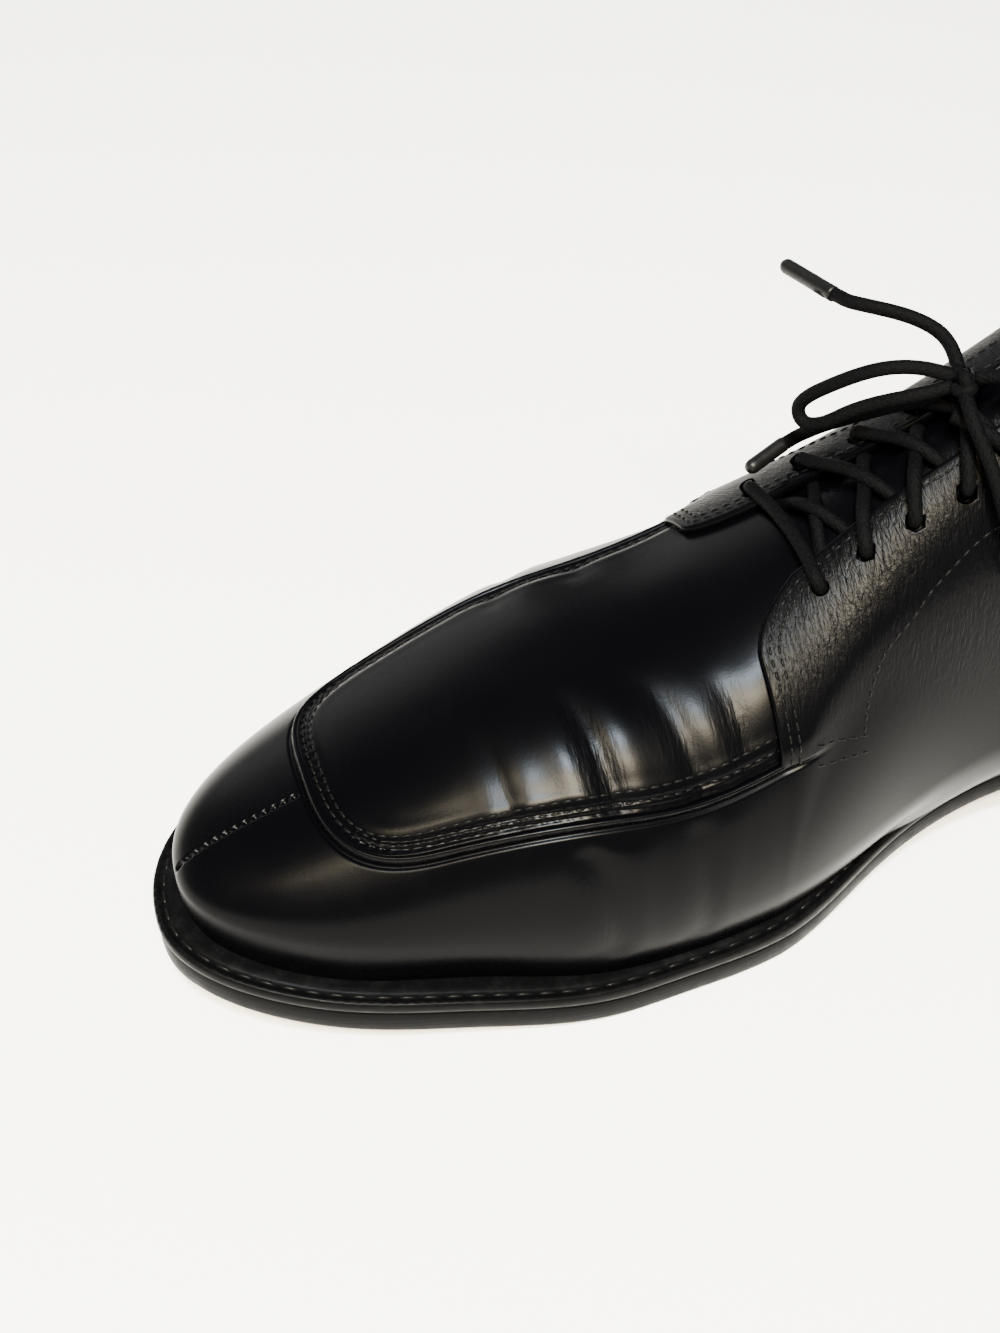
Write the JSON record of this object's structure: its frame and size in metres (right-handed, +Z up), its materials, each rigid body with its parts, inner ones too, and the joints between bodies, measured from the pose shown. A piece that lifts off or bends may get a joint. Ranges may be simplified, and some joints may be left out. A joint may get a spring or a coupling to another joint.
{
  "type": "split toe derby shoe",
  "caption": "Black leather split toe derby for the right foot: raised apron seam, split seam down the toe, open lacing with a tied bow, stitched welt, leather sole and stacked heel.",
  "frame": {"origin": "centre of the shoe's footprint box on the ground plane, under the middle of the sole's length and width, measured without the free lace ends and loops", "axes": "+Y from heel to toe, +Z up, -X towards the inner (big toe) side and +X towards the outer side of this right shoe"},
  "size_m": [0.1042, 0.3034, 0.1309],
  "materials": {
    "black_calf": "polished smooth calf, semi-gloss",
    "black_tongue_calf": "polished smooth calf, semi-gloss",
    "black_welt_leather": "waxed edge, satin",
    "black_sole_leather": "stained and waxed, satin",
    "black_stacked_leather": "stacked lifts, stained and waxed, satin",
    "black_rubber": "matt",
    "tan_lining_leather": "matt",
    "black_waxed_lace": "waxed round lace, satin",
    "black_lace_tip": "smooth"
  },
  "bodies": {
    "root": {"upper": "black_calf", "tongue": "black_tongue_calf", "outsole": "black_sole_leather", "welt": "black_welt_leather", "insole": "tan_lining_leather", "heel_base": "black_stacked_leather", "top_lift": "black_rubber", "lace_bars": "black_waxed_lace", "lace_knot": "black_waxed_lace", "lace_loop_toe": "black_waxed_lace", "lace_loop_side": "black_waxed_lace", "lace_end_toe": "black_waxed_lace", "lace_end_side": "black_waxed_lace", "aglet_toe": "black_lace_tip", "aglet_side": "black_lace_tip"}
  },
  "joints": []
}
